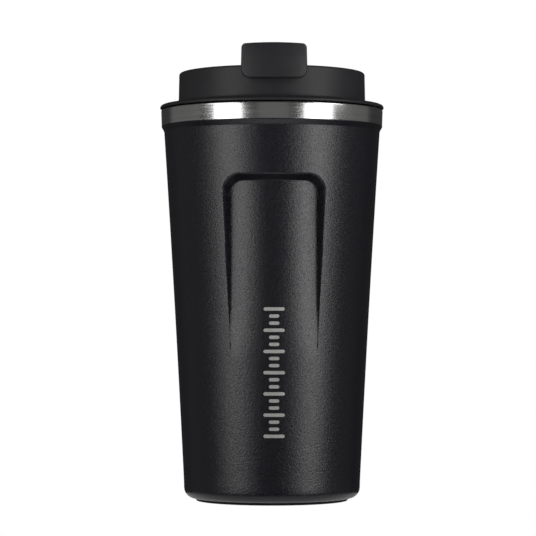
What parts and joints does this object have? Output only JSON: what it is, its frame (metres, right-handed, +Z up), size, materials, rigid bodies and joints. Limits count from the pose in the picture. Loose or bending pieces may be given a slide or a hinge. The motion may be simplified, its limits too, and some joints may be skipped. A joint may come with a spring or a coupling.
{
  "type": "insulated travel mug",
  "caption": "Double-walled steel travel mug with a tapered body, a stamped front grip recess and a screw-on lid with a flip-up drink cover.",
  "frame": {"origin": "centre of the foot's underside, on the mug's axis, so the mug stands on z = 0", "axes": "+Z up along the mug's axis, -Y towards the front, where the grip recess and the finger tab are, +X to the right seen from the front"},
  "size_m": [0.0886, 0.0886, 0.1774],
  "materials": {
    "body_coat": "matt black powder coat on stainless steel",
    "steel": "brushed stainless steel",
    "foil": "bright foil",
    "getter_metal": "sintered metal pill",
    "port_glass": "dark solder-glass bead",
    "pad_rubber": "matt black rubber",
    "lid_plastic": "fine-textured matt black moulding",
    "plug_plastic": "satin black moulding",
    "silicone": "grey silicone"
  },
  "bodies": {
    "mug": {"outer_shell": "body_coat", "inner_liner": "steel", "foil_wrap": "foil", "getter": "getter_metal", "base_plate": "steel", "port_seal": "port_glass", "foot_pad": "pad_rubber"},
    "seal": {"lid_gasket": "silicone"},
    "lid": {"lid_shell": "lid_plastic", "lid_plug": "plug_plastic", "hinge_pin": "steel"},
    "flip": {"flip_cover": "lid_plastic", "drink_stopper": "silicone", "vent_stopper": "silicone"}
  },
  "joints": [
    {"name": "lid_rise", "type": "slide", "parent": "mug", "child": "seal", "axis": [0, 0, 1], "range_m": [0, 0.0176]},
    {"name": "lid_unscrew", "type": "hinge", "parent": "seal", "child": "lid", "pos_m": [0, 0, 0.148], "axis": [0, 0, 1], "range_deg": [0, 525]},
    {"name": "flip_hinge", "type": "hinge", "parent": "lid", "child": "flip", "pos_m": [0, 0.016, 0.1684], "axis": [-1, 0, 0], "range_deg": [0, 110]}
  ],
  "couplings": [
    {"joint": "lid_rise", "follows": "lid_unscrew", "m_per_rad": 0.0019099}
  ]
}
